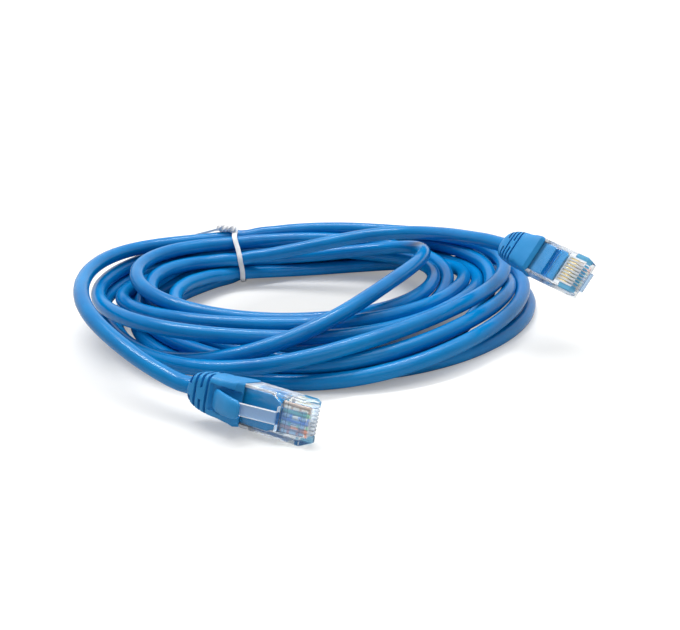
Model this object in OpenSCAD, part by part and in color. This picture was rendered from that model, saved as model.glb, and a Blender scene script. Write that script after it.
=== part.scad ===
// Ethernet patch lead: a round jacketed cable wound into a tied oval coil, with an
// eight-contact modular plug in a snag-proof moulded boot on each end.
// Plug frame: +X out of the nose, +Z towards the contacts, nose face at x = 0.

/* [Cable] */
// Outer diameter of the cable jacket
cable_d = 4.8; // [4.4:0.1:5.0]
// Diameter of one insulated conductor
wire_d = 0.94; // [0.8:0.02:0.98]

/* [Plug housing] */
// Width of the plug across its contacts
plug_w = 11.7; // [11.5:0.1:12.2]
// Height of the plug from its latch face to its contact face
plug_h = 6.6; // [6.4:0.1:7.2]
// Length of the plug from its nose to its rear end
plug_l = 21.5; // [20.5:0.5:24]
// Thickness of the clear side walls
plug_wall = 0.95; // [0.8:0.05:1.1]
// Bevel round the nose and along the edges
plug_bevel = 0.5; // [0.2:0.1:0.7]
// Distance that the nose's latch side lies behind its contact side
nose_rake = 1.8; // [1.6:0.1:2.2]
// Length of the wedge that is crimped on to the cable jacket
crimp_l = 2.4; // [2:0.1:2.8]
// Distance from the nose to the crimped wedge
crimp_x = 10.8; // [10.6:0.1:11.4]
// Thickness of the wall in front of the conductors
nose_wall = 1.1; // [0.9:0.1:1.6]

/* [Contacts] */
// Number of contacts in the row
contact_n = 8; // [2:1:8]
// Distance between neighbouring contacts
contact_pitch = 1.02; // [1:0.01:1.06]
// Thickness of one contact blade
contact_t = 0.35; // [0.25:0.05:0.45]
// Length of one contact blade
contact_l = 3.2; // [2.8:0.1:3.4]
// Distance from the nose to the front of a contact blade
contact_x = 3.6; // [3:0.1:3.8]
// Depth of a contact blade's edge below the contact face
contact_recess = 0.45; // [0.3:0.05:0.6]
// Length of the guide that holds the conductors in a row
guide_l = 1.2; // [1:0.1:1.5]

/* [Latch] */
// Length of the latch from its hinge to its tail end
latch_l = 18.6; // [17:0.1:19.5]
// Thickness of the latch arm
latch_t = 0.85; // [0.7:0.05:1]
// Width of the latch between its locking shoulders
latch_shoulder_w = 6.2; // [5.8:0.1:6.6]
// Width of the latch tail that the finger presses
latch_tail_w = 3.25; // [2.8:0.05:3.6]
// Distance from the nose to the locking shoulders
latch_shoulder_x = 8.2; // [7.8:0.1:8.6]
// Angle at which the free latch stands off the plug
latch_rise = 12; // [10:0.5:12]

/* [Boot] */
// Length of the moulded boot
boot_l = 16.6; // [16.4:0.1:18.5]
// Thickness of the boot's side walls over the plug
boot_side = 0.25; // [0.2:0.05:0.6]
// Thickness of the boot over the plug's contact face
boot_cover = 1.1; // [0.9:0.1:1.4]
// Thickness of the boot over the plug's latch face
boot_floor = 1.5; // [1.4:0.1:1.8]
// Distance from the nose to the front edge of the boot
boot_x = 17.4; // [16.8:0.1:18]
// Width of the boot at the cable end
boot_tail_w = 6.6; // [6.2:0.1:7.4]
// Width of the boot where its relief starts
boot_waist_w = 10.8; // [10.4:0.1:11.4]
// Thickness of the boot at the cable end
boot_tail_h = 6.4; // [6.2:0.1:7]
// Width of one flex groove
groove_w = 0.6; // [0.4:0.05:0.7]
// Distance between neighbouring flex grooves
groove_pitch = 1.5; // [1.3:0.05:1.5]
// Number of flex grooves
groove_n = 4; // [2:1:4]
// Bridge left where a flex groove is split
groove_bridge = 3.4; // [2.8:0.1:4]

/* [Snag-proof flap] */
// Length of the flap from its hinge to its lip
flap_l = 10.6; // [10:0.1:11]
// Width of the flap at its hinge
flap_root_w = 8.4; // [7.8:0.1:8.6]
// Width of the flap at its lip
flap_tip_w = 5.8; // [5.4:0.1:6.2]
// Thickness of the flap
flap_t = 1.1; // [0.9:0.05:1.3]
// Length of the latch's tail that the flap covers
flap_cover = 2.8; // [2.4:0.1:3.2]
// Height of the flap's lip beyond the tip of the latch
flap_gap = 2.25; // [2.2:0.05:2.6]

/* [Twist tie] */
// Width of the tie strip
tie_w = 2.2; // [1.8:0.1:3]
// Thickness of the tie strip
tie_t = 0.8; // [0.7:0.05:0.9]
// Diameter of the steel wire inside the strip
tie_wire_d = 0.4; // [0.3:0.05:0.45]
// Length of the twisted part of the ends
tie_twist_l = 7; // [5:0.5:9]
// Length of the loose flat end
tie_tail_l = 9; // [6:0.5:11]

/* [Hidden] */
$fn = 48;

// Clearance between pieces that are pushed together
fit = 0.04;
// Clearance round a turning hinge barrel
hinge_gap = 0.12;
// Reach of a cutter past the face that it opens
over = 0.5;

// Colours
jacket_blue = [0.08, 0.42, 0.75];
clear_grey = [0.86, 0.91, 0.94, 0.45];
gold = [0.85, 0.68, 0.25];
pair_white = [0.95, 0.95, 0.93];

// ---------------------------------------------------------------- plug layout
half_w = plug_w / 2;
half_h = plug_h / 2;
row_w = contact_n * contact_pitch;          // width taken by the conductor row
wire_z = -0.55;                             // height of the conductor row
cavity_front = nose_wall - 2 * fit;         // room in front of the conductors
cavity_floor = wire_z - wire_d / 2 - fit;
chamber_h = wire_d + 2 * fit;
row_gap = 0.3;                              // between contacts, guide and insert
guide_x = contact_x + contact_l + row_gap;  // front of the conductor guide
guide_rim = 0.55;                           // guide's rim round the conductors
guide_w = row_w + 2 * guide_rim;
guide_h = wire_d + 2 * guide_rim;
insert_tip_x = guide_x + guide_l + row_gap; // front of the blue insert
insert_taper = 3;
insert_step = 0.3;                          // above this height the insert doesn't taper
insert_full_x = insert_tip_x + insert_taper;    // where the insert reaches full width
insert_w = plug_w - 2 * plug_wall;
insert_h = plug_h - 2 * plug_wall;
jacket_x = insert_full_x + 1;               // where the round jacket ends in the plug
crimp_w = insert_w - 0.8;
crimp_depth = plug_wall + 0.35;             // reaches past the wall into the insert
blade_top = half_h - contact_recess;
blade_foot = wire_z - wire_d * 0.3;
slot_w = contact_t + 2 * fit;

function contact_y(i) = (i - (contact_n - 1) / 2) * contact_pitch;

// ---------------------------------------------------------------- latch layout
hinge_r = 0.6;
latch_hinge = [0.4 - nose_rake, -half_h + 0.1]; // x and z of the latch's living hinge
latch_tip = latch_hinge - latch_l * [cos(latch_rise), sin(latch_rise)];
shoulder_reach = latch_shoulder_x + latch_hinge[0];     // from hinge to locking shoulder
leg_l = 2;                                  // the latch stands on three legs this long
leg_gap = 1.2;                              // opening between two legs
leg_w = (latch_shoulder_w - 2 * leg_gap) / 3;

// ---------------------------------------------------------------- boot layout
boot_end = boot_x + boot_l;
boot_w = plug_w + 2 * (fit + boot_side);
boot_top = half_h + boot_cover;             // contact side
boot_bottom = -half_h - boot_floor;         // latch side
boot_h = boot_top - boot_bottom;
boot_slant = 2.2;                           // latch side starts this far behind
boot_lead = 1.4;                            // length of the bevel round the front edge
boot_round = 1.6;                           // radius along the body's long edges
boot_rear_wall = 0.6;                       // the body narrows from here behind the plug
relief_more = 2.2;                          // the dome reaches this far past the grooves
groove_rim = 0.5;                           // wall behind the last flex groove
relief_x = boot_end - groove_n * groove_pitch - relief_more;
flap_tip = latch_tip + [flap_cover, -flap_gap];
flap_hinge = [flap_tip[0] - flap_l, boot_bottom + hinge_r - 0.25];
channel_w = flap_root_w + 0.5;
channel_z = -half_h - 0.3;

// The flap's side view is an arc that leaves the lip level: radius from its rise
flap_drop = flap_hinge[1] - flap_tip[1];
flap_radius = (flap_l * flap_l + flap_drop * flap_drop) / (2 * flap_drop);

// ---------------------------------------------------------------- where the plugs lie
plug_a_at = [-3.5, -70.8, 6.6];
plug_a_turn = [-107, 3.5, -27];
plug_b_at = [76, -18.2, 26];
plug_b_turn = [51, 6.5, -51.5];

// ---------------------------------------------------------------- where the cable lies
lead_sides = 10;
// Lead A: out of boot A, along the coil's left side and on to the coil at its tie
lead_a_route = [
    [-40.1, -52.8, 9.6], [-45.8, -49.2, 11], [-51, -45.2, 12.5], [-56.5, -40.2, 14.2], [-62.5, -34.2, 16],
    [-69, -27.7, 17.5], [-73, -20.2, 18.5], [-75.5, -11.7, 19], [-78, 0.3, 19], [-78.5, 11.3, 19],
    [-76.5, 22.3, 19], [-71.5, 33.3, 18.5], [-65, 41.3, 17.5], [-56, 48.3, 16], [-46.5, 52.8, 14],
    [-39.5, 54.3, 12]
];
// Lead B: out of the coil beside its tie, across its back and down into boot B
lead_b_route = [
    [-28.5, 48.8, 9.5], [-22.5, 47.8, 11.3], [-15, 48.3, 13], [-7.5, 48.1, 15], [0.5, 47.3, 17.3], [8, 47.3, 19],
    [16, 47.6, 20.2], [23.5, 46, 21.3], [30.3, 42, 22.3], [35.9, 36.8, 23.5],
    [40.9, 30, 24.8], [45, 23, 27], [48.2, 17.4, 29.2]
];

// The coil round its centre: angle, inner reach, outer reach, height at each of the two
coil_centre = [-4.5, 10.3];
coil_sections = 60;
coil_stations = [
    [-205, 48, 80, 19, 15], [-180, 46, 74, 20, 15], [-160, 44, 69, 19, 14],
    [-140, 38, 61, 18, 14], [-115, 29, 54, 17, 14], [-90, 22, 53, 18, 15],
    [-60, 19, 52.5, 19, 15], [-36, 22, 55, 20, 14], [-16, 27, 62, 20, 12], [0, 32, 72, 20, 11],
    [20, 38, 77, 18, 15], [65, 42, 67, 17, 19], [100, 44, 62, 15, 20], [115, 46, 58, 12, 16.5],
    [130, 47, 56, 10, 16], [155, 48, 80, 19, 15], [180, 46, 74, 20, 15], [200, 44, 69, 19, 14]
];
// One section of the coil: place across it from -1 to 1, and share of the height there
coil_outline = [
    [-0.85, 0], [-1, 0.2], [-1, 0.6], [-0.75, 0.9], [-0.3, 1],
    [0.3, 1], [0.75, 0.9], [1, 0.6], [1, 0.2], [0.85, 0]
];
coil_blend = 12;                            // angle over which two stations blend
coil_ramp = 24;                             // angle over which the coil rises to its tie

// ---------------------------------------------------------------- where the tie lies
tie_at = [-32.9, 0, 0.2];                   // lowest point of the tie's ring
tie_angle = 123;                            // where that is round the coil
tie_lean = -9;                              // the ring leans to the left at its top
tie_low = tie_t + cable_d / 2;              // lowest cables rest on the strip
tie_lift = tie_t + 3 * tie_at[2];           // the coil lies this much higher there
// The outermost cables in the tie, in y and z
tie_bundle = [
    [47.8, tie_low], [47.1, 9.8], [54.8, 15.6], [60.8, 15.6], [61.8, 10], [60.8, tie_low]
];
tie_twist_at = [-35.3, 54.7, 19.8];          // the twisted ends start here, on the ring
tie_twist_turn = [0, -2, 176];
tie_tail_turn = [0, 16, 8];                 // the flat end falls away from the twist

// The cable leaves each boot in line with its plug
boot_rear_a = at_plug([-boot_end, 0, 0], plug_a_at, plug_a_turn);
boot_rear_b = at_plug([-boot_end, 0, 0], plug_b_at, plug_b_turn);

// A point on a plug's axis as the plug lies
function at_plug(p, at, turn) =
    at + p[0] * [cos(turn[1]) * cos(turn[2]), cos(turn[1]) * sin(turn[2]), -sin(turn[1])];

// ---------------------------------------------------------------- small helpers
// Axis-aligned block from its two x limits, full width and two z limits
module block(x0, x1, w, z0, z1) {
    translate([x0, -w / 2, z0]) cube([x1 - x0, w, z1 - z0]);
}

// Cylinder along Y through the point (x, z)
module barrel(at, r, w) {
    translate([at[0], 0, at[1]]) rotate([90, 0, 0]) cylinder(h = w, r = r, center = true);
}

// Solid whose side view, in x and z, is the given outline
module side_cut(outline, w) {
    rotate([90, 0, 0]) linear_extrude(height = w, center = true) polygon(outline);
}

// Flat rectangle with round corners made of true arcs
module round_rect(w, h, r) {
    square([w - 2 * r, h], center = true);
    square([w, h - 2 * r], center = true);
    for (sx = [-1, 1], sy = [-1, 1])
        translate([sx * (w / 2 - r), sy * (h / 2 - r)]) circle(r = r);
}

module at_plug_a() { translate(plug_a_at) rotate(plug_a_turn) children(); }
module at_plug_b() { translate(plug_b_at) rotate(plug_b_turn) children(); }

// ---------------------------------------------------------------- plug housing
// Outer block with bevelled nose and long edges
module housing_block() {
    b = plug_bevel;
    intersection() {
        rotate([90, 0, 90]) translate([0, 0, -plug_l]) linear_extrude(height = plug_l)
            polygon([
                [-half_w + b / 2, -half_h], [half_w - b / 2, -half_h],
                [half_w, -half_h + b / 2], [half_w, half_h - b / 2],
                [half_w - b / 2, half_h], [-half_w + b / 2, half_h],
                [-half_w, half_h - b / 2], [-half_w, -half_h + b / 2]
            ]);
        linear_extrude(height = 2 * plug_h, center = true)
            polygon([
                [-plug_l, -half_w], [-3 * b, -half_w], [0, -half_w + b],
                [0, half_w - b], [-3 * b, half_w], [-plug_l, half_w]
            ]);
        side_cut([
            [-plug_l, -half_h], [-nose_rake, -half_h], [-b, 0], [0, b],
            [0, half_h - 1.6 * b], [-2.4 * b, half_h], [-plug_l, half_h]
        ], 2 * plug_w);
    }
}

// Hollow for the insert, narrowing to the row of conductors
module housing_cavity() {
    insert_form(fit, plug_l + over);
    block(-insert_full_x, -cavity_front, row_w + 2 * fit, cavity_floor,
        cavity_floor + chamber_h);
    block(-insert_tip_x - over, -guide_x + fit, guide_w + 2 * fit,
        wire_z - guide_h / 2 - fit, wire_z + guide_h / 2 + fit);
}

module plug_housing() {
    color(clear_grey) difference() {
        housing_block();
        housing_cavity();
        for (i = [0 : contact_n - 1])
            translate([-contact_x - contact_l - fit, contact_y(i) - slot_w / 2, wire_z])
                cube([contact_x + contact_l + fit + over, slot_w, plug_h]);
        block(-crimp_x - crimp_l - fit, -crimp_x + fit, crimp_w + 2 * fit,
            half_h - plug_wall - over, half_h + over);
        barrel(latch_hinge, hinge_r + hinge_gap, latch_shoulder_w + 2 * hinge_gap);
        side_cut([
            [over, -half_h - over], [over, -half_h + hinge_r + hinge_gap],
            [latch_hinge[0], -half_h + hinge_r + hinge_gap],
            [latch_hinge[0] - 2.2, -half_h], [latch_hinge[0] - 2.2, -half_h - over]
        ], latch_shoulder_w + 2 * hinge_gap);
    }
}

// ---------------------------------------------------------------- latch
// Side view of the arm: stout between hinge and shoulder, thin along the tail
module latch() {
    l = latch_l;
    t = latch_t;
    color(clear_grey)
        translate([latch_hinge[0], 0, latch_hinge[1]]) rotate([0, -latch_rise, 0])
            difference() {
                union() {
                    rotate([90, 0, 0])
                        cylinder(h = latch_shoulder_w, r = hinge_r, center = true);
                    intersection() {
                        side_cut([
                            [0, -hinge_r], [0, hinge_r - t], [-1.2, -t * 0.2],
                            [-shoulder_reach + 0.8, t * 0.05], [-shoulder_reach, -t * 0.2],
                            [-l + 1.4, -t * 0.1], [-l, t * 0.15],
                            [-l, -t * 0.6], [-l + 1.4, -t * 1.1],
                            [-shoulder_reach, -t * 1.2], [-shoulder_reach, -t * 1.7],
                            [-shoulder_reach + 2.6, -t * 1.3]
                        ], 2 * latch_shoulder_w);
                        linear_extrude(height = 8 * t, center = true)
                            polygon(latch_plan());
                    }
                }
                for (s = [-1, 1])
                    translate([-hinge_r * 1.5 - leg_l, s * (leg_w + leg_gap) / 2 - leg_gap / 2, -2 * t])
                        cube([leg_l, leg_gap, 4 * t]);
            }
}

// Plan of the latch arm, hinge at the origin, tail along -X
function latch_plan() = [
    [0.1, latch_shoulder_w / 2], [-shoulder_reach, latch_shoulder_w / 2],
    [-shoulder_reach, latch_tail_w / 2], [-latch_l + 0.8, latch_tail_w / 2],
    [-latch_l, latch_tail_w / 2 - 0.6], [-latch_l, -latch_tail_w / 2 + 0.6],
    [-latch_l + 0.8, -latch_tail_w / 2], [-shoulder_reach, -latch_tail_w / 2],
    [-shoulder_reach, -latch_shoulder_w / 2], [0.1, -latch_shoulder_w / 2]
];

// ---------------------------------------------------------------- contacts and conductors
// One blade: a rounded contact edge on top and piercing teeth below
module blade() {
    tooth = contact_l / 5;
    r = contact_l / 8;                      // round corners of the contact edge
    rotate([90, 0, 0]) linear_extrude(height = contact_t, center = true) difference() {
        union() {
            translate([-contact_x - contact_l, blade_foot])
                square([contact_l, blade_top - blade_foot - r]);
            translate([-contact_x - contact_l + r, blade_foot])
                square([contact_l - 2 * r, blade_top - blade_foot]);
            for (x = [contact_x + r, contact_x + contact_l - r])
                translate([-x, blade_top - r]) circle(r = r);
        }
        for (k = [1, 3])
            translate([-contact_x - (k + 1) * tooth, blade_foot - over])
                square([tooth, over + wire_d * 0.9]);
    }
}

module contacts() {
    color(gold) for (i = [0 : contact_n - 1]) translate([0, contact_y(i), 0]) blade();
}

// One conductor, slit where its contact bites into it
module conductor(i, paint) {
    color(paint) difference() {
        translate([-jacket_x, contact_y(i), wire_z]) rotate([0, 90, 0])
            cylinder(h = jacket_x - nose_wall, d = wire_d);
        translate([-contact_x - contact_l - fit, contact_y(i) - slot_w / 2, blade_foot - fit])
            cube([contact_l + 2 * fit, slot_w, wire_d]);
    }
}

// Contacts are numbered from the -Y side; a pair is one striped and one solid colour
module wires_orange() {
    conductor(7, pair_white);
    conductor(6, [0.93, 0.45, 0.12]);
}
module wires_green() {
    conductor(5, pair_white);
    conductor(2, [0.1, 0.55, 0.3]);
}
module wires_blue() {
    conductor(4, [0.12, 0.3, 0.7]);
    conductor(3, pair_white);
}
module wires_brown() {
    conductor(1, pair_white);
    conductor(0, [0.4, 0.22, 0.12]);
}

// Clear bar with one scalloped opening that spaces the conductors
module wire_guide() {
    color(clear_grey) difference() {
        block(-guide_x - guide_l, -guide_x, guide_w, wire_z - guide_h / 2,
            wire_z + guide_h / 2);
        block(-guide_x - guide_l - over, -guide_x + over, (contact_n - 1) * contact_pitch,
            wire_z - wire_d / 4, wire_z + wire_d / 4);
        for (i = [0 : contact_n - 1])
            translate([-guide_x - guide_l - over, contact_y(i), wire_z]) rotate([0, 90, 0])
                cylinder(h = guide_l + 2 * over, d = wire_d + 2 * fit);
    }
}

// ---------------------------------------------------------------- insert and crimp
// Plan of the insert: full width at the rear, tapering to the conductor row
module insert_plan(grow, rear) {
    polygon([
        [-rear, -insert_w / 2 - grow], [-insert_full_x + grow, -insert_w / 2 - grow],
        [-insert_tip_x + grow, -row_w / 2 + 0.9 - grow],
        [-insert_tip_x + grow, row_w / 2 - 0.9 + grow],
        [-insert_full_x + grow, insert_w / 2 + grow], [-rear, insert_w / 2 + grow]
    ]);
}

// Tapered on the latch side, full width up to its front edge on the contact side
module insert_form(grow, rear) {
    top = insert_h / 2 - fit + grow;
    linear_extrude(height = 2 * top, center = true) insert_plan(grow, rear);
    block(-rear, -insert_tip_x + grow, insert_w + 2 * grow, insert_step - grow, top);
}

module boot_insert() {
    color(jacket_blue) difference() {
        insert_form(0, plug_l);
        block(-jacket_x, -insert_tip_x + over, row_w + 2 * fit, cavity_floor,
            cavity_floor + chamber_h);
        translate([-plug_l - over, 0, 0]) rotate([0, 90, 0])
            cylinder(h = plug_l + over - jacket_x, d = cable_d);
        crimp_pocket();
    }
}

// Room for the crimped wedge, over the insert and the jacket
module crimp_pocket() {
    block(-crimp_x - crimp_l - fit, -crimp_x + fit, crimp_w + 2 * fit,
        half_h - crimp_depth, half_h);
}

// Wedge of the housing that the crimp tool has pushed in
module crimp_wedge() {
    color(clear_grey) side_cut([
        [-crimp_x - crimp_l, half_h - crimp_depth + fit], [-crimp_x, half_h - crimp_depth + fit],
        [-crimp_x, half_h - 0.7], [-crimp_x - 0.6, half_h - 0.25],
        [-crimp_x - crimp_l, half_h - 0.9]
    ], crimp_w);
}

// The cable's own end, through the boot and into the insert, pressed flat by the plug
module jacket_end() {
    color(jacket_blue) difference() {
        translate([-boot_end, 0, 0]) rotate([0, 90, 0])
            cylinder(h = boot_end - jacket_x, d = cable_d);
        crimp_pocket();
        for (side = [0, 180])
            rotate([side, 0, 0]) block(-plug_l, 0, plug_w, insert_h / 2 - fit, plug_h);
    }
}

// ---------------------------------------------------------------- boot
// Body over the plug's rear, tapering to the cable, from three crossed outlines
module boot_body() {
    intersection() {
        linear_extrude(height = 3 * boot_h, center = true) polygon(concat(
            dome(boot_waist_w / 2, boot_tail_w / 2),
            [[-plug_l - boot_rear_wall, boot_w / 2], [-boot_x - boot_lead, boot_w / 2], [-boot_x, boot_w / 2 - boot_side],
                [-boot_x, -boot_w / 2 + boot_side], [-boot_x - boot_lead, -boot_w / 2],
                [-plug_l - boot_rear_wall, -boot_w / 2]],
            reverse(dome(-boot_waist_w / 2, -boot_tail_w / 2))
        ));
        side_cut(concat(
            dome(boot_top, boot_tail_h / 2),
            [[-boot_x - boot_lead, boot_top], [-boot_x, half_h + boot_cover / 6],
                [-boot_x - boot_slant, boot_bottom + boot_floor / 3],
                [-boot_x - boot_slant - boot_floor / 3, boot_bottom]],
            reverse(dome(boot_bottom, -boot_tail_h / 2))
        ), 2 * boot_w);
        translate([-boot_end - over, 0, (boot_top + boot_bottom) / 2]) rotate([90, 0, 90])
            linear_extrude(height = boot_l + 2 * over) round_rect(boot_w, boot_h, boot_round);
    }
}

// Rounded outline of the relief, from its cable end to the body
function dome(body, tail) = [
    for (a = [90 : -15 : 0])
        [-relief_x - (boot_end - relief_x) * sin(a), tail + (body - tail) * cos(a)]
];

function reverse(list) = [for (i = [len(list) - 1 : -1 : 0]) list[i]];

// Flex grooves: every other one is split on the broad faces, the rest on the sides
module boot_grooves() {
    for (i = [0 : groove_n - 1]) {
        x = -boot_end + groove_rim + i * groove_pitch;
        split = i % 2 == 0;
        difference() {
            block(x, x + groove_w, 2 * boot_w, -boot_h, boot_h);
            translate([x - over, 0, 0]) rotate([0, 90, 0])
                cylinder(h = groove_w + 2 * over, d = cable_d + 1.6);
            if (split)
                block(x - over, x + groove_w + over, groove_bridge, -2 * boot_h, 2 * boot_h);
            else
                block(x - over, x + groove_w + over, 3 * boot_w, -groove_bridge / 3,
                    groove_bridge / 3);
        }
    }
}

module boot() {
    color(jacket_blue) difference() {
        boot_body();
        boot_grooves();
        block(-plug_l, over, plug_w + 2 * fit, -half_h - fit, half_h + fit);
        translate([-boot_end - over, 0, 0]) rotate([0, 90, 0])
            cylinder(h = boot_l + 2 * over, d = cable_d);
        block(flap_hinge[0], over, channel_w, -2 * boot_h, channel_z);
        barrel(flap_hinge, hinge_r + hinge_gap, channel_w);
    }
}

// ---------------------------------------------------------------- snag-proof flap
module boot_flap() {
    r = flap_radius;
    centre = [flap_tip[0], flap_tip[1] + r];
    color(jacket_blue) union() {
        barrel(flap_hinge, hinge_r, flap_root_w);
        intersection() {
            difference() {
                barrel(centre, r, 2 * boot_w);
                barrel(centre, r - flap_t, 3 * boot_w);
            }
            translate([0, 0, -2 * boot_h]) linear_extrude(height = 2 * boot_h + flap_hinge[1] + 0.1)
                polygon([
                    [flap_hinge[0], -flap_root_w / 2], [flap_hinge[0] + flap_l * 0.45, -flap_root_w / 2],
                    [flap_tip[0] - 0.8, -flap_tip_w / 2], [flap_tip[0], -flap_tip_w / 2 + 0.8],
                    [flap_tip[0], flap_tip_w / 2 - 0.8], [flap_tip[0] - 0.8, flap_tip_w / 2],
                    [flap_hinge[0] + flap_l * 0.45, flap_root_w / 2], [flap_hinge[0], flap_root_w / 2]
                ]);
        }
    }
}

// ---------------------------------------------------------------- cable
// Point on the surface of a tube: ring centre, direction there, and angle round it
function tube_point(c, d, turn) =
    let (side = cross([0, 0, 1], d) / norm(cross([0, 0, 1], d)), up = cross(d, side))
    c + cable_d / 2 * (cos(turn) * side + sin(turn) * up);

// Direction of a route at its point i
function heading(route, i) =
    let (v = route[min(i + 1, len(route) - 1)] - route[max(i - 1, 0)]) v / norm(v);

// Faces between ring i and the next one, two triangles for each side
function band(i, j, sides) = [
    for (k = [0 : sides - 1])
        let (m = (k + 1) % sides)
        each [[i * sides + k, j * sides + m, i * sides + m],
            [i * sides + k, j * sides + k, j * sides + m]]
];

// Tube swept along a route of points
module tube(route) {
    n = len(route);
    rings = [
        for (i = [0 : n - 1], k = [0 : lead_sides - 1])
            tube_point(route[i], heading(route, i), 360 * k / lead_sides)
    ];
    bands = [for (i = [0 : n - 2]) each band(i, i + 1, lead_sides)];
    first = [for (k = [0 : lead_sides - 1]) k];
    last = [for (k = [0 : lead_sides - 1]) n * lead_sides - 1 - k];
    polyhedron(points = rings, faces = concat(bands, [first, last]));
}

module cable_lead_a() { color(jacket_blue) tube(concat([boot_rear_a], lead_a_route)); }

module cable_lead_b() { color(jacket_blue) tube(concat(lead_b_route, [boot_rear_b])); }

// One value of the coil's stations, blended over its neighbours
function station(angle, column) =
    let (table = [for (s = coil_stations) [s[0], s[column]]])
    (lookup(angle - coil_blend, table) + lookup(angle, table)
        + lookup(angle + coil_blend, table)) / 3;

// Point k of the coil's section at an angle
function coil_point(angle, k) =
    let (u = coil_outline[k][0], share = coil_outline[k][1],
        near = station(angle, 1), far = station(angle, 2),
        reach = (near + far + u * (far - near)) / 2,
        height = station(angle, 3) * (1 - u) / 2 + station(angle, 4) * (1 + u) / 2)
    [coil_centre[0] + reach * cos(angle), coil_centre[1] + reach * sin(angle),
        coil_lift(angle) + share * height];

// The tie's strip passes below the coil, which rises over it
function coil_lift(angle) = tie_lift * max(0, 1 - abs(angle - tie_angle) / coil_ramp);

module cable_coil() {
    sides = len(coil_outline);
    rings = [
        for (i = [0 : coil_sections - 1], k = [0 : sides - 1])
            coil_point(-180 + 360 * i / coil_sections, k)
    ];
    color(jacket_blue) polyhedron(points = rings, faces = [
        for (i = [0 : coil_sections - 1]) each band(i, (i + 1) % coil_sections, sides)
    ]);
}

// ---------------------------------------------------------------- twist tie
// Outline of the tied cables, grown outwards
module tie_outline(grow) {
    hull() for (p = tie_bundle) translate(p) circle(r = cable_d / 2 + grow, $fn = 32);
}

// Flat ring round the tied cables, between two distances from them
module tie_ring(w, from, to) {
    translate(tie_at) rotate([0, tie_lean, 0]) rotate([90, 0, 90])
        linear_extrude(height = w, center = true) difference() {
            tie_outline(to);
            tie_outline(from);
        }
}

// The strip with the slit that its wire lies in
module tie_strap() {
    color("white") difference() {
        tie_ring(tie_w, 0, tie_t);
        tie_ring(tie_wire_d + fit, (tie_t - tie_wire_d - fit) / 2, (tie_t + tie_wire_d + fit) / 2);
    }
}

module tie_wire() {
    color("silver") tie_ring(tie_wire_d, (tie_t - tie_wire_d) / 2, (tie_t + tie_wire_d) / 2);
}

// Both ends of the strip twisted together, and the flat rest of one of them
module tie_twist() {
    color("white") translate(tie_twist_at) rotate(tie_twist_turn) {
        rotate([90, 0, 90]) linear_extrude(height = tie_twist_l, twist = 360, slices = 16, $fn = 4)
            square([tie_w, 2 * tie_t], center = true);
        translate([tie_twist_l - tie_t, 0, 0]) rotate(tie_tail_turn)
            block(0, tie_tail_l, tie_w, -tie_t / 2, tie_t / 2);
    }
}

at_plug_a() plug_housing();  // plug_housing_a
at_plug_a() latch();  // latch_a
at_plug_a() contacts();  // contacts_a
at_plug_a() wire_guide();  // wire_guide_a
at_plug_a() crimp_wedge();  // crimp_wedge_a
at_plug_a() wires_orange();  // wires_orange_a
at_plug_a() wires_green();  // wires_green_a
at_plug_a() wires_blue();  // wires_blue_a
at_plug_a() wires_brown();  // wires_brown_a
at_plug_a() jacket_end();  // jacket_end_a
at_plug_a() boot_insert();  // boot_insert_a
at_plug_a() boot();  // boot_a
at_plug_a() boot_flap();  // boot_flap_a
at_plug_b() plug_housing();  // plug_housing_b
at_plug_b() latch();  // latch_b
at_plug_b() contacts();  // contacts_b
at_plug_b() wire_guide();  // wire_guide_b
at_plug_b() crimp_wedge();  // crimp_wedge_b
at_plug_b() wires_orange();  // wires_orange_b
at_plug_b() wires_green();  // wires_green_b
at_plug_b() wires_blue();  // wires_blue_b
at_plug_b() wires_brown();  // wires_brown_b
at_plug_b() jacket_end();  // jacket_end_b
at_plug_b() boot_insert();  // boot_insert_b
at_plug_b() boot();  // boot_b
at_plug_b() boot_flap();  // boot_flap_b
cable_coil();
cable_lead_a();
cable_lead_b();
tie_strap();
tie_wire();
tie_twist();
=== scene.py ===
"""Coiled ethernet patch lead: its cable, boots and twist tie, its materials, the light and the
camera.

Everything is placed in metres in the row frame. The numbers that name a place on the cable, a
boot or the tie are millimetres, and turn into metres where a mesh is made.
"""

import math

import bpy
import numpy as np
from mathutils import Euler, Matrix, Vector

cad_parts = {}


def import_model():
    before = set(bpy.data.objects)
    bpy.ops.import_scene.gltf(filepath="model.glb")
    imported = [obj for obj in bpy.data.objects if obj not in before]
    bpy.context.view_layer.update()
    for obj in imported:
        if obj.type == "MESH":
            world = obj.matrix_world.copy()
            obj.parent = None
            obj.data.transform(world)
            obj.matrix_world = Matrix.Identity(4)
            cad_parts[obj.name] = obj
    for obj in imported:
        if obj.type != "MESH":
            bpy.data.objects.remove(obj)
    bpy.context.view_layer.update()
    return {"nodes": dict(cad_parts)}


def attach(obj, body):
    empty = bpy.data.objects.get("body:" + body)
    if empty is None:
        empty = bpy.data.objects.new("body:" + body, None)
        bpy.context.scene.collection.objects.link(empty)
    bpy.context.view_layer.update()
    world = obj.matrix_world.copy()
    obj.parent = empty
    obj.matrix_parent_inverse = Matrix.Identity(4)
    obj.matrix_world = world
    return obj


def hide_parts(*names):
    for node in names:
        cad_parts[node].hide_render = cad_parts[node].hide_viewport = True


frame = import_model()
MM = 0.001
BODY = "cable_and_plugs"
# Where each plug's nose lies in millimetres, and how the plug is turned in degrees
PLUGS = {
    "a": ((-3.5, -70.8, 6.6), (-107, 3.5, -27)),
    "b": ((76, -18.2, 26), (51, 6.5, -51.5)),
}
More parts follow.
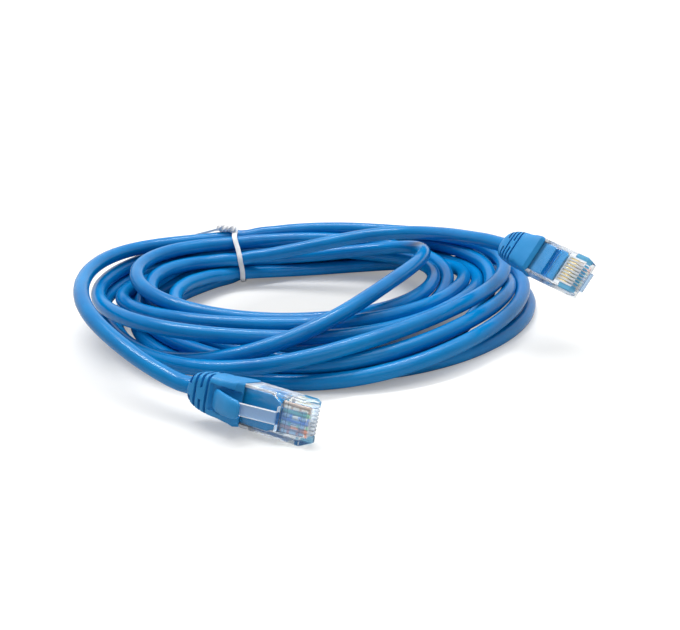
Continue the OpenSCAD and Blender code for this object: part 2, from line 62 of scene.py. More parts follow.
# Behind a plug's nose, from front to rear
INSERT_TIP = 8.6                # the blue tongue in the plug starts,
INSERT_FULL = 11.6              # and has its full width
JACKET_FROM = 12.6              # the cable's jacket starts
BOOT_FRONT = 17.4               # the boot's thin lip over the plug starts
FLARE_X = 18.8                  # the boot is at its widest
BEND_FROM = 20.0                # from here a boot gives way to the pull of its cable
PLUG_REAR = 21.4                # the plug and the tongue end
RELIEF_X = 25.8                 # the boot's flexing relief starts
BOOT_END = 34.0                 # the boot ends
BOOT_PULL = {                   # how far a boot gives way at its rear, in the plug's own frame
    "a": np.array([-1.8, -0.5, -1.1]),
    "b": np.array([0.65, -0.45, -2.1]),
}
CABLE_R = 2.4
GAP = 4.86                      # centre to centre of two strands that touch
FLOOR_Z = CABLE_R               # height of a strand's middle where it lies on the table

# ---------------------------------------------------------------- camera
CAMERA_AT = (0.0032, -0.2812, 0.1212)
LOOKS_DOWN = 22                 # degrees

camera = bpy.data.objects.new("camera", bpy.data.cameras.new("camera"))
bpy.context.scene.collection.objects.link(camera)
camera.location = CAMERA_AT
camera.rotation_euler = (math.radians(90 - LOOKS_DOWN), 0, 0)
camera.data.lens = 50
camera.data.sensor_width = 36
camera.data.clip_start, camera.data.clip_end = 0.01, 50
bpy.context.scene.camera = camera
bpy.context.scene.view_settings.view_transform = "Standard"

# ---------------------------------------------------------------- route of the cable
# The coil's ten turns, clockwise from its left side over the tie, the back, the right side
# and the front. A station is an angle round the coil's centre in degrees, a radius and a height.
# Most began as points picked on the photograph's strands, with heights judged. A scratch script
# carried those through the camera, and they were then rounded and moved by hand.
# The rest lie on hidden strands and are guesses.
CENTRE = np.array([-4.8, 10.8])
TURNS = [
    [(123, 55.5, 14.8), (97, 58.6, 15.5), (82, 57, 15.5), (65, 57, 15), (48, 63, 14.5),
     (37, 70.5, 14), (29, 74, 14), (22, 74, 14), (16, 70.5, 13.5), (10, 63.5, 13),
     (-3, 54, 13), (-17, 48, 13), (-30, 45, 13), (-54, 43.3, 12.5),
     (-76, 46, 12), (-94, 51.5, 10.5), (-111, 57.5, 7.5), (-124, 60, 6), (-136, 60.5, 5.5),
     (-150, 62.5, 6), (-165, 66.5, 8)],
    [(180, 73, 8), (150, 66, 9), (123, 58, 10.5), (97, 61, 10.5), (82, 60, 10),
     (61, 64, 9), (46, 71, 9), (35, 76, 9), (24, 77, 8.5), (14, 74, 8), (8, 71, 7.5),
     (-7, 62, 7.2), (-19, 58, 7), (-32, 55.7, 6.8), (-41, 54, 6.5), (-56, 51, 3.6),
     (-71, 50.5, 2.4), (-87, 50, 2.4), (-105, 49.5, 2.4), (-125, 50, 2.4), (-142, 52, 2.8)],
    [(180, 62, 3), (150, 56, 4), (123, 51, 7), (100, 47, 7), (83, 46, 8), (67, 46, 11),
     (54, 52, 14.5), (44, 54, 17), (34, 49, 18), (18, 35, 18), (-4, 25, 18),
     (-32, 22.5, 17.5), (-60, 26.5, 17), (-76, 33.5, 16.5), (-91, 41.5, 15), (-101, 47, 13),
     (-111, 50, 10), (-121, 53, 7), (-130, 56, 5), (-145, 60, 4)],
    [(180, 68, 3), (150, 64, 3), (123, 57, 3.4), (90, 60, 2.6), (60, 69, 2.4),
     (42, 79, 2.4), (30, 81, 2.4), (20, 80, 2.4), (12, 76, 2.4), (1, 70, 2.4),
     (-7, 65.6, 2.4), (-15, 61, 2.4), (-25, 57, 2.4), (-35, 54.2, 2.4), (-44, 52.8, 2.4),
     (-62, 48.5, 2.4), (-90, 45.5, 2.4), (-119, 45, 2.4), (-142, 47, 2.6)],
    [(180, 56, 3), (150, 51, 3.5), (123, 51.5, 3.4), (90, 54.5, 2.6), (60, 65, 4),
     (45, 74, 6), (35, 76.5, 7), (26, 75, 9), (14, 70.4, 10), (3, 65, 10), (-9, 58.6, 9.8),
     (-20, 52, 9.5), (-36, 47.5, 9), (-57, 47, 8.5), (-73, 48, 7), (-94, 47, 4.5),
     (-121, 47.5, 3), (-142, 51, 6)],
    [(180, 60, 8.5), (150, 56, 9), (123, 52.5, 11), (90, 52, 9), (65, 52, 9), (48, 55, 10),
     (39, 54.5, 10.5), (31, 51, 10.5), (22, 44.5, 9.5), (9, 36, 9), (-8, 29.5, 9),
     (-30, 25, 9.5), (-55, 23.5, 10.5), (-80, 24.5, 11.5), (-105, 28, 12), (-130, 34.5, 12),
     (-142, 40, 12.5), (-153, 49, 14.5), (-167, 56.5, 17)],
    [(180, 59.5, 18), (166, 61, 17.5), (151, 60, 17), (138, 57.5, 16), (123, 53, 15),
     (90, 52, 12), (60, 55, 10), (45, 61, 10), (36, 59.5, 10), (28, 54.5, 9.5), (19, 47, 8.5),
     (9, 39, 7), (-8, 32, 5), (-30, 28, 4), (-60, 27, 3.2), (-90, 29, 3), (-115, 33, 3.5),
     (-142, 39, 7), (-163, 44, 9.5)],
    [(180, 49, 9.5), (166, 50, 9), (150, 48, 8), (123, 46, 4.5), (100, 46.5, 3), (80, 49, 3),
     (60, 55, 4), (45, 65, 7), (36, 66.5, 8.5), (27, 61, 9), (18, 51.5, 8.5), (5, 41, 8),
     (-15, 34, 8), (-40, 29.5, 9.5), (-80, 24, 11.5), (-105, 29, 12), (-127, 37, 12.5),
     (-142, 45, 13), (-155, 53.5, 12), (-170, 61, 11)],
    [(179, 65.4, 9), (167, 68.5, 7.5), (150, 64, 7), (123, 56.5, 6.5), (90, 56, 5),
     (60, 60, 5), (43, 69, 7), (32, 69.5, 8), (25, 65.5, 8), (17, 58.5, 8), (7, 49, 8),
     (-10, 41, 8), (-30, 36, 7.5), (-50, 33, 7.5), (-80, 32, 8.5), (-103, 38, 12),
     (-117, 49, 14), (-134, 57, 15), (-152, 64, 14.5), (-165, 67.7, 13.5)],
    [(-178, 71.6, 12), (172, 73.5, 11.5), (155, 68, 12), (123, 58, 14.5), (90, 59, 14),
     (60, 63, 13), (38, 70.5, 12), (30, 71, 12), (24, 69, 11.5), (16, 63, 10.5),
     (4, 54, 8), (-12, 50, 4.5), (-30, 46, 3), (-50, 42.5, 2.6), (-80, 39, 2.6),
     (-110, 40, 4.5), (-142, 44, 7), (-165, 52, 12)],
]
# The stations after the last turn, over to where lead B leaves the coil
LAST = [(177, 57, 14), (165, 58, 14), (155, 55, 13.5), (143, 51, 12.5), (131, 48, 11),
        (125, 45, 10.5)]
# The leads' own points, from boot A to the coil and from the coil to boot B
LEAD_A = [
    (-40.1, -52.8, 9.6), (-45.8, -49.2, 11), (-51, -45.2, 12.5), (-56.5, -40.2, 14.2),
    (-62.5, -34.2, 16), (-69, -27.7, 17.5), (-73, -20.2, 18.5), (-75.5, -11.7, 19),
    (-78, 0.3, 19), (-78.5, 11.3, 19), (-76.5, 22.3, 19), (-71.5, 33.3, 18.5),
    (-65, 41.3, 17.5),
]
LEAD_B = [
    (-28.5, 48.8, 9.5), (-22.5, 47.8, 11.3), (-15, 48.3, 13), (-7.5, 48.1, 15),
    (0.5, 47.3, 17.3), (8, 47.3, 19), (16, 47.6, 20.2), (23.5, 46, 21.3),
    (30.3, 42, 22.3), (35.9, 36.8, 23.5), (40.9, 30, 24.8), (45.8, 23, 26.4),
    (50.5, 16.6, 27.6),
]
ROUTE_IN_BOOT = 4               # the route starts and ends this far inside the boots
# The tie holds the strands inside this outline, in y and z where x is the tie's
TIE_X = -32.9
TIE_OUTLINE = np.array([(47.8, 3.4), (47.1, 10), (54.8, 15.8), (60.8, 15.8), (61.8, 10.2),
                        (60.8, 3.4)])
TIE_REACH = 3                   # strands this near to the tie's x are held by it,
TIE_BACK = 38                   # if they lie behind this y


def plug_matrix(side):
    """The plug's frame: +X out of its nose, +Z towards its contacts."""
    at, turn = PLUGS[side]
    turned = Euler([math.radians(t) for t in turn], "XYZ").to_matrix().to_4x4()
    return Matrix.Translation(Vector(at) * MM) @ turned


def boot_centre(side, back):
    """Middle of a boot this far behind the plug's nose, in the plug's own frame."""
    share = max(0.0, (back - BEND_FROM) / (BOOT_END - BEND_FROM))
    return np.array([-back, 0, 0]) + BOOT_PULL[side] * share ** 2


def placed(side, points):
    """Points of a plug's own frame, in millimetres, as it lies."""
    turned = np.array(plug_matrix(side))
    return np.asarray(points) @ turned[:3, :3].T + turned[:3, 3] / MM


def on_axis(side, back):
    """Middle of a boot as it lies, this far behind the plug's nose."""
    return placed(side, boot_centre(side, back))


def route_points():
    """The route's points before the cable settles, from inside boot A to inside boot B."""
    def on_coil(angle, radius, height):
        a = math.radians(angle)
        return np.array([CENTRE[0] + radius * math.cos(a), CENTRE[1] + radius * math.sin(a),
                         height])

    inside = BOOT_END - ROUTE_IN_BOOT
    points = [on_axis("a", inside), on_axis("a", BOOT_END)]
    points += [np.array(p, float) for p in LEAD_A]
    points += [on_coil(*s) for stations in [*TURNS, LAST] for s in stations]
    points += [np.array(p, float) for p in LEAD_B]
    points += [on_axis("b", BOOT_END), on_axis("b", inside)]
    return np.array(points)


def lengths(line):
    """Length of each of a line's straight parts."""
    return np.linalg.norm(np.diff(line, axis=0), axis=1)


def resample(line, step):
    """The line again, with evenly spaced points."""
    along = np.concatenate([[0], np.cumsum(lengths(line))])
    at = np.linspace(0, along[-1], max(2, round(along[-1] / step)) + 1)
    return np.stack([np.interp(at, along, line[:, k]) for k in range(3)], axis=1)


def smooth_curve(points, steps=12):
    """Centripetal Catmull-Rom curve through the points."""
    p = np.vstack([2 * points[0] - points[1], points, 2 * points[-1] - points[-2]])
    out = []
    for p0, p1, p2, p3 in zip(p, p[1:], p[2:], p[3:]):
        t0 = 0
        t1 = t0 + np.linalg.norm(p1 - p0) ** 0.5
        t2 = t1 + np.linalg.norm(p2 - p1) ** 0.5
        t3 = t2 + np.linalg.norm(p3 - p2) ** 0.5
        t = np.linspace(t1, t2, steps, endpoint=False)[:, None]
        a1 = ((t1 - t) * p0 + (t - t0) * p1) / (t1 - t0)
        a2 = ((t2 - t) * p1 + (t - t1) * p2) / (t2 - t1)
        a3 = ((t3 - t) * p2 + (t - t2) * p3) / (t3 - t2)
        b1 = ((t2 - t) * a1 + (t - t0) * a2) / (t2 - t0)
        b2 = ((t3 - t) * a2 + (t - t1) * a3) / (t3 - t1)
        out.append(((t2 - t) * b1 + (t - t1) * b2) / (t2 - t1))
    return np.vstack([*out, points[-1:]])


def nearest_on_segments(line, i, j):
    """Shares along segments i and j of their nearest points, and the vector between them."""
    p, q = line[i], line[j]
    d, e = line[i + 1] - p, line[j + 1] - q
    r = p - q
    dd, ee, de = (d * d).sum(1), (e * e).sum(1), (d * e).sum(1)
    dr, er = (d * r).sum(1), (e * r).sum(1)
    s = np.clip((de * er - dr * ee) / np.maximum(dd * ee - de * de, 1e-9), 0, 1)
    t = np.clip((de * s + er) / ee, 0, 1)
    s = np.clip((de * t - dr) / dd, 0, 1)
    return s[:, None], t[:, None], (p + d * s[:, None]) - (q + e * t[:, None])


def inside_tie(points):
    """The points moved inside the tie's outline."""
    middle = TIE_OUTLINE.mean(0)
    for a, b in zip(TIE_OUTLINE, np.roll(TIE_OUTLINE, -1, 0)):
        edge = b - a
        out = np.array([edge[1], -edge[0]]) / np.linalg.norm(edge)
        if (middle - a) @ out > 0:
            out = -out
        points = points - np.maximum((points - a) @ out, 0)[:, None] * out * 0.8
    return points


SETTLE_ROUNDS, SETTLE_STEP = 160, 3.2
LEAD_A_L, LEAD_B_L = 150, 95    # lengths of cable that keep to the leads' own points
HOLD_LEADS, HOLD_COIL = 0.25, 0.03      # how strongly the route is kept in each round
SAME_STRAND = 9                 # nearer than this along the cable, two parts are one strand


def settle(line):
    """Lets a cable of fixed length find its place: strands push each other apart, it resists
    bending, lies on the table and in the tie, and stays near the route it starts from."""
    now = resample(line, SETTLE_STEP)
    wanted, n = now.copy(), len(now)
    step = lengths(now).mean()
    free = np.ones((n, 1))
    free[:4] = free[-4:] = 0
    along = np.arange(n) * step
    lead = (along < LEAD_A_L) | (along > along[-1] - LEAD_B_L)
    keep = np.where(lead, HOLD_LEADS, HOLD_COIL)[:, None]
    apart = math.ceil(SAME_STRAND / step)
    for turn in range(SETTLE_ROUNDS):
        if turn % 8 == 0:       # which parts lie near each other changes slowly
            square = ((now[:, None] - now[None]) ** 2).sum(2)
            i, j = np.where(square < (GAP + step + 2) ** 2)
            near = (j - i > apart) & (j < n - 1)
            i, j = i[near], j[near]
        s, t, between = nearest_on_segments(now, i, j)
        gap = np.linalg.norm(between, axis=1)
        push, count = np.zeros_like(now), np.zeros((n, 1))
        bad = gap < GAP
        move = between[bad] / np.maximum(gap[bad], 1e-6)[:, None]
        move *= (GAP - gap[bad])[:, None] / 2
        a, b, s, t = i[bad], j[bad], s[bad], t[bad]
        for at, share, way in ((a, 1 - s, 1), (a + 1, s, 1), (b, 1 - t, -1), (b + 1, t, -1)):
            np.add.at(push, at, way * move * share)
            np.add.at(count, at, share)
        now += free * push / np.maximum(count, 1) * 1.3
        now += free * (wanted - now) * keep * (1 - 0.6 * turn / SETTLE_ROUNDS)
        for k in (1, 1, 3, 4):      # bending over short and over longer stretches
            bend = np.zeros_like(now)
            bend[2 * k:-2 * k] = (4 * (now[k:-3 * k] + now[3 * k:-k]) - 6 * now[2 * k:-2 * k]
                                  - now[:-4 * k] - now[4 * k:])
            now += free * bend / 16 * 0.6
        for _ in range(3):          # the cable keeps its length
            part = np.diff(now, axis=0)
            part *= (1 - step / np.linalg.norm(part, axis=1))[:, None] / 2
            move = np.zeros_like(now)
            move[:-1] += part
            move[1:] -= part
            now += free * move * 0.6
        now[:, 2] = np.maximum(now[:, 2], FLOOR_Z)
        tied = (np.abs(now[:, 0] - TIE_X) < TIE_REACH) & (now[:, 1] > TIE_BACK)
        now[tied, 1:] = inside_tie(now[tied][:, 1:])
    return now


route = resample(smooth_curve(settle(resample(smooth_curve(route_points()), 1.5)), 4), 1.6)


# ---------------------------------------------------------------- mesh helpers
def new_mesh(name, points, faces, uv=None):
    """A smooth object from points in metres; uv holds one pair for each corner of each face."""
    mesh = bpy.data.meshes.new(name)
    mesh.from_pydata([tuple(p) for p in points], [], faces)
    if uv is not None:
        layer = mesh.uv_layers.new(name="along")
        layer.data.foreach_set("uv", np.asarray(uv, np.float32).ravel())
    mesh.polygons.foreach_set("use_smooth", [True] * len(mesh.polygons))
    mesh.update()
    obj = bpy.data.objects.new(name, mesh)
    bpy.context.scene.collection.objects.link(obj)
    return obj


def frames_along(line):
    """Direction, side and up of a frame that doesn't twist along the line."""
    ahead = np.gradient(line, axis=0)
    ahead /= np.linalg.norm(ahead, axis=1)[:, None]
    side = np.zeros_like(line)
    side[0] = np.cross((0, 0, 1), ahead[0])
    side[0] /= np.linalg.norm(side[0])
    for i in range(1, len(line)):
        s = side[i - 1] - (side[i - 1] @ ahead[i]) * ahead[i]
        side[i] = s / np.linalg.norm(s)
    return ahead, side, np.cross(ahead, side)


def tube(name, line, radius, sides=20):
    """Tube along a line in millimetres; radius(along, around) gives its surface."""
    ahead, side, up = frames_along(line)
    along = np.concatenate([[0], np.cumsum(lengths(line))])
    turn = np.arange(sides) * 2 * math.pi / sides
    r = radius(along[:, None], turn[None])
    out = np.cos(turn)[None, :, None] * side[:, None] + np.sin(turn)[None, :, None] * up[:, None]
    points = (line[:, None] + r[..., None] * out).reshape(-1, 3) * MM
    faces, uv = [], []
    for i in range(len(line) - 1):
        for k in range(sides):
            m = (k + 1) % sides
            faces.append((i * sides + k, i * sides + m, (i + 1) * sides + m,
                          (i + 1) * sides + k))
            u0, u1, v0, v1 = k / sides, (k + 1) / sides, along[i] * MM, along[i + 1] * MM
            uv += [(u0, v0), (u1, v0), (u1, v1), (u0, v1)]
    last = len(line) - 1
    faces += [tuple(range(sides))[::-1], tuple(last * sides + k for k in range(sides))]
    uv += [(0, 0)] * (2 * sides)
    return new_mesh(name, points, faces, uv)


# ---------------------------------------------------------------- cable
def jacket_radius(along, around):
    """The jacket shows the four twisted pairs under it as a faint slow helix."""
    pairs = 0.012 * np.cos(4 * around - 2 * math.pi * along / 23)
    lay = 0.018 * np.cos(2 * around - 2 * math.pi * along / 61)
    slow = 0.012 * np.sin(along / 17.0 + 1.3) * np.cos(around)
    return CABLE_R + pairs + lay + slow


cable = tube("cable", route, jacket_radius)

# ---------------------------------------------------------------- boots and flaps
HALF_W, HALF_H = 5.85, 3.3      # of the plug
FIT = 0.03                      # between the plug and the boot's pocket
# The boot's outline where it starts, where it is widest, where its relief starts and where it
# ends: half width, reach up, reach down and squareness
LIP = (5.9, 3.5, 3.8, 8)
FLARE = (6.14, 4.4, 4.8, 8)
SHOULDER = (5.55, 4.2, 4.6, 5)
TAIL = (2.75, 2.75, 2.75, 2)
FRONT_RAKE = 2.2                # how much farther back the front edge lies on the latch's side,
RAKE_END = 22.1                 # a slant that has faded out here
GROOVES = (28.7, 30.2, 31.7, 33.2)
GROOVES_SHIFT = {"a": 0, "b": 2.6}      # boot B's bend draws its relief towards the plug
GROOVE_W, GROOVE_D = 0.62, 1.0
GROOVE_STEPS = (-0.42, -0.33, -0.29, 0, 0.29, 0.33, 0.42)       # rings across one groove
CHANNEL_W, CHANNEL_Z, CHANNEL_END = 6.9, -3.6, 27.9     # the flap's channel under the boot
BORE_R, BORE_MOUTH_R, BORE_MOUTH = 2.3, 2.42, 33.4
AROUND = 128                    # points in one ring of a boot


def mix(a, b, share):
    """From a to b as the share goes from 0 to 1, and no farther."""
    return a + (b - a) * min(max(share, 0.0), 1.0)


def ring(w, top, bottom, power, count=AROUND):
    """Rounded outline in y and z from half width, reach up, reach down and squareness."""
    a = (np.arange(count) + 0.5) * 2 * math.pi / count
    y = w * np.sign(np.cos(a)) * np.abs(np.cos(a)) ** (2 / power)
    z = np.sign(np.sin(a)) * np.abs(np.sin(a)) ** (2 / power)
    return y, np.where(z > 0, z * top, z * bottom)


def ring_between(one, other, shares):
    """Outline on the way from one to the other, with its own share for each of its values."""
    return ring(*(mix(a, b, share) for a, b, share in zip(one, other, shares)))


def skin(name, rings, sharp, closed=False):
    """Surface over rings of equally many points in metres, capped unless it closes on itself."""
    count, rows = len(rings[0]), len(rings)
    faces = []
    for i in range(rows if closed else rows - 1):
        j = (i + 1) % rows
        for k in range(count):
            m = (k + 1) % count
            faces.append((i * count + k, j * count + k, j * count + m, i * count + m))
    if not closed:
        faces += [tuple(range(count)), tuple((rows - 1) * count + k for k in range(count))[::-1]]
    obj = new_mesh(name, np.vstack(rings), faces)
    obj.data.set_sharp_from_angle(angle=math.radians(sharp))
    return obj


def boot_outline(side, back):
    """Ring of the boot's outer skin this far behind the nose, before grooves and channel."""
    if back < FLARE_X:
        s = (back - BOOT_FRONT) / (FLARE_X - BOOT_FRONT)
        return ring_between(LIP, FLARE, (s, s, s, s))
    relief = RELIEF_X - GROOVES_SHIFT[side]
    if back < relief:
        s = (back - FLARE_X) / (relief - FLARE_X)
        return ring_between(FLARE, SHOULDER, (s ** 1.4, s, s, s))
    s = (BOOT_END - back) / (BOOT_END - relief)
    swell = (1 - (1 - s) ** 2.1) ** (1 / 2.1)
    return ring_between(TAIL, SHOULDER, (swell, swell, swell, swell ** 1.5))


def in_groove(side, back, y, z):
    """Where the outer skin lies in a flex groove. By turns, bridges cross the grooves at the
    boot's sides and at its top and bottom."""
    for i, middle in enumerate(GROOVES):
        if abs(back - middle + GROOVES_SHIFT[side]) < GROOVE_W / 2:
            return np.abs(z) > 1.1 if i % 2 == 0 else np.abs(y) > 1.7
    return np.zeros(len(y), bool)


def raked(z):
    """How much farther back the boot's slanting front edge lies at this height."""
    return FRONT_RAKE * (FLARE[1] - z) / (FLARE[1] + FLARE[2])


def boot_mesh(side):
    """Moulded boot: flared body, flexing relief, the flap's channel and the plug's pocket."""
    edges = [BOOT_FRONT, 17.7, 18.3, FLARE_X, 19.5, 20.3, 21.2, RAKE_END, 22.8, 23.5, 24.2, 25,
             RELIEF_X, 26.6, 27.4, 28.1]
    edges += [middle + d - GROOVES_SHIFT[side] for middle in GROOVES for d in GROOVE_STEPS]
    edges += [31.7, 32.6, 33.1] if side == "b" else []
    edges = sorted(edges + [33.55, 33.75, 33.87, 33.94, 33.98, BOOT_END])
    rings = []
    for back in edges[::-1]:
        y, z = boot_outline(side, back)
        deep = in_groove(side, back, y, z)
        r = np.hypot(y, z)
        y, z = (v * np.where(deep, 1 - GROOVE_D / r, 1) for v in (y, z))
        if back < CHANNEL_END:
            z = np.where(np.abs(y) < CHANNEL_W / 2, np.maximum(z, CHANNEL_Z), z)
        slant = raked(z) * min(max((RAKE_END - back) / (RAKE_END - FLARE_X), 0), 1)
        rings.append((back + slant, y, z))
    # Inside: the plug's pocket from the raked front edge, then the cable's bore
    y, z = ring(HALF_W + FIT, HALF_H + FIT, HALF_H + FIT, 14)
    rings += [(BOOT_FRONT + raked(z), y, z), (20.2, y, z), (PLUG_REAR, y, z)]
    y, z = ring(BORE_R, BORE_R, BORE_R, 2)
    rings += [(PLUG_REAR, y, z), (BORE_MOUTH, y, z)]
    y, z = ring(BORE_MOUTH_R, BORE_MOUTH_R, BORE_MOUTH_R, 2)
    rings.append((BOOT_END, y, z))
    out = []
    for back, y, z in rings:
        back = np.broadcast_to(back, y.shape)
        middle = np.array([boot_centre(side, b) for b in back])
        out.append(placed(side, middle + np.stack([0 * y, y, z], 1)) * MM)
    return skin(f"boot_skin_{side}", out, sharp=24, closed=True)


FLAP_TIP, FLAP_HINGE = (-16.79, -9.317), (-27.39, -4.45)        # in the plug's own x and z
FLAP_T = 1.1
FLAP_OFF = 0.15                 # off the plug's middle
FLAP_TIP_HALF, FLAP_ROOT_HALF, FLAP_CORNER = 2.4, 2.8, 0.8      # half widths, corner's inset
FLAP_CROWN = 0.75               # how far its sides curve away from its middle
FLAP_SHARES = (0, 0.004, 0.015, 0.035, 0.07, 0.14, 0.22, 0.3, 0.38, 0.46, 0.54, 0.62, 0.7,
               0.78, 0.86, 0.93, 1)     # rings from its tip to its root


def flap_mesh(side):
    """Petal over the latch's tail: an arc that leaves its lip level, crowned across."""
    drop, run = FLAP_HINGE[1] - FLAP_TIP[1], FLAP_TIP[0] - FLAP_HINGE[0]
    radius = (run * run + drop * drop) / (2 * drop)
    root = math.asin(run / radius) + 0.05
    rings = []
    for share in FLAP_SHARES:
        thick = FLAP_T / 2 * (1 - max(0, 1 - share / 0.035) ** 2) ** 0.5
        thick = max(thick, 0.12)
        width = mix(FLAP_TIP_HALF, FLAP_ROOT_HALF, share / 0.5)
        width -= FLAP_CORNER * (1 - min(share / 0.09, 1)) ** 2
        across, deep = ring(width, thick, thick, 5, 48)
        angle = root * share + 0.03 * (np.abs(across) / width) ** 3 * (1 - share)
        crown = FLAP_CROWN * (np.abs(across) / 3) ** 2.4 * mix(1, 0.5, share)
        r = radius - FLAP_T / 2 - crown + deep
        rings.append(placed(side, np.stack([FLAP_TIP[0] - r * np.sin(angle), across + FLAP_OFF,
                                            FLAP_TIP[1] + radius - r * np.cos(angle)], 1)) * MM)
    return skin(f"flap_petal_{side}", rings, sharp=60)


INSERT_W, INSERT_H = 4.9, 2.31  # half width and half height of the tongue in the plug
INSERT_TIP_W = 3.3              # half width of its tip on the latch's side
VALLEY_X, VALLEY_HALF, VALLEY_D = 12.1, 1.15, 0.85      # dent under the plug's crimp
INSERT_BACKS = (PLUG_REAR, 20, 18, 16, 14.4, 13.7, 13.2, 12.9, 12.5, 12.2, 11.9, INSERT_FULL,
                11.3, 11.1, 10.9, 10.5, 10, 9.4, 8.9, 8.72, INSERT_TIP)
SLOT_W, SLOT_H, SLOT_Z = 4.1, 0.5, -0.55        # the conductors' slot through the tongue
JACKET_IN_R = 1.95              # bore for the jacket, which the plug squeezes


def insert_mesh(side):
    """Blue tongue inside the clear plug: valley under the crimp, taper towards the latch."""
    rings = []
    for back in INSERT_BACKS:
        y, z = ring(INSERT_W, INSERT_H, INSERT_H, 14)
        narrow = mix(INSERT_TIP_W, INSERT_W, (back - INSERT_TIP) / (INSERT_FULL - INSERT_TIP))
        y = np.where(z < -INSERT_H / 2, y * narrow / INSERT_W, y)
        valley = max(0.0, 1 - abs(back - VALLEY_X) / VALLEY_HALF) ** 0.7
        z = np.minimum(z, INSERT_H - VALLEY_D * valley)
        edge = 0.96 if back == INSERT_TIP else 1
        rings.append((back, y * edge, z * edge))
    y, z = ring(SLOT_W, SLOT_H, SLOT_H, 8)
    rings += [(INSERT_TIP, y, z + SLOT_Z), (JACKET_FROM, y, z + SLOT_Z)]
    y, z = ring(JACKET_IN_R, JACKET_IN_R, JACKET_IN_R, 2)
    rings += [(JACKET_FROM, y, z), (PLUG_REAR, y, z)]
    out = [placed(side, np.stack([0 * y - back, y, z], 1)) * MM for back, y, z in rings]
    return skin(f"tongue_{side}", out, sharp=30, closed=True)


def jacket_end_mesh(side):
    """The cable's own end, bent as its boot is and squeezed where the plug holds it."""
    line = np.array([on_axis(side, back) for back in np.arange(JACKET_FROM, 30, 0.575)])
    squeezed = 1.9

    def radius(along, around):
        free = np.clip((along + JACKET_FROM - 21.2) / 2, 0, 1)      # eases as it leaves the plug
        return squeezed + (CABLE_R - squeezed) * free + 0 * around

    return tube(f"jacket_in_boot_{side}", line, radius, 32)


boots = {side: boot_mesh(side) for side in PLUGS}
petals = {side: flap_mesh(side) for side in PLUGS}
inserts = {side: insert_mesh(side) for side in PLUGS}
jacket_ends = {side: jacket_end_mesh(side) for side in PLUGS}

# ---------------------------------------------------------------- twist tie
TIE_LEAN = 0.158                # the strap leans this much to the left as it rises,
TIE_BOW = 1.5                   # and bows this far to the right half way up
STRAP_HALF, STRAP_T = 0.9, 0.55         # half width and thickness of the band
WIRE_HALF, WIRE_T = 0.16, 0.32  # the same of the wire in it
WIRE_RIDGE = 0.14               # how far the wire lifts the band's outside


def hull(points):
    """Convex outline round points in a plane, anticlockwise."""
    points = sorted(map(tuple, points))
    sides = []
    for line in (points, points[::-1]):
        side = []
        for p in line:
            while len(side) > 1 and ((side[-1][0] - side[-2][0]) * (p[1] - side[-2][1])
                                     <= (side[-1][1] - side[-2][1]) * (p[0] - side[-2][0])):
                side.pop()
            side.append(p)
        sides += side[:-1]
    return np.array(sides)


def tie_loop():
    """Closed line, in y and z, that the strap follows round the strands it holds."""
    off = route[:, 0] + TIE_LEAN * route[:, 2] - TIE_X
    cross = np.where((off[1:] * off[:-1] < 0) & (route[1:, 1] > TIE_BACK))[0]
    around = np.arange(24) * math.pi / 12
    far = CABLE_R + 0.12 + STRAP_T / 2      # clear of the jacket
    rims = [route[c, 1:] + far * np.stack([np.cos(around), np.sin(around)], 1) for c in cross]
    outline = hull(np.vstack(rims))
    outline[:, 1] = np.maximum(outline[:, 1], 0.2 + STRAP_T / 2)
    closed = np.vstack([outline, outline[:1]])
    loop = resample(np.column_stack([0 * closed[:, 0], closed]), 0.8)[:-1, 1:]
    for _ in range(3):
        loop = (2 * loop + np.roll(loop, 1, 0) + np.roll(loop, -1, 0)) / 4
    return loop


def strap_mesh(name, half_w, thick, ridge):
    """Band round the tie's loop, with a soft ridge over the wire in its middle."""
    loop = tie_loop()
    ahead = np.roll(loop, -1, 0) - np.roll(loop, 1, 0)
    out = np.stack([ahead[:, 1], -ahead[:, 0]], 1) / np.linalg.norm(ahead, axis=1)[:, None]
    a = np.arange(20) * math.pi / 10
    across = np.sign(np.cos(a)) * np.abs(np.cos(a)) ** 0.5 * half_w
    deep = np.sign(np.sin(a)) * np.abs(np.sin(a)) ** 0.5 * thick / 2
    deep = deep + ridge * np.exp(-(across / 0.35) ** 2) * (deep > 0)
    rings = []
    for i, (p, n) in enumerate(zip(loop, out)):
        yz = p + n * deep[:, None]
        rise = yz[:, 1] / loop[:, 1].max()
        bow = TIE_BOW * 4 * rise * (1 - rise) + 0.12 * math.sin(i * 0.35)
        x = TIE_X - TIE_LEAN * yz[:, 1] + across + bow
        rings.append(np.column_stack([x, yz]) * MM)
    return skin(name, rings, sharp=60, closed=True)


strap = strap_mesh("tie_band", STRAP_HALF, STRAP_T, WIRE_RIDGE)
core = strap_mesh("tie_core", WIRE_HALF, WIRE_T, 0)

# ---------------------------------------------------------------- materials
BLUE = (0.0, 0.207, 0.54, 1)
BLUE_DEEP = (0.0, 0.17, 0.48, 1)
BLUE_SOFT = (0.001, 0.238, 0.595, 1)
BOOT_BLUE = (0.016, 0.262, 0.61, 1)
BOOT_DEEP = (0.011, 0.234, 0.565, 1)
BOOT_SOFT = (0.024, 0.288, 0.65, 1)
PIPED_BLUE = (0.07, 0.36, 0.64, 1)      # of the insert, seen along the clear plastic
CLEAR = (0.95, 0.98, 1, 1)
CONTACT_PITCH = 1.02


def add_node(tree, kind, inputs=None, **settings):
    """A new node, whose inputs are values or other nodes' sockets."""
    node = tree.nodes.new(kind)
    for key, value in settings.items():
        setattr(node, key, value)
    for key, value in (inputs or {}).items():
        if isinstance(value, bpy.types.NodeSocket):
            tree.links.new(value, node.inputs[key])
        else:
            node.inputs[key].default_value = value
    return node


def calc(tree, kind, *values):
    """Result of a calculation with one or more values."""
    return add_node(tree, "ShaderNodeMath", dict(enumerate(values)), operation=kind).outputs[0]


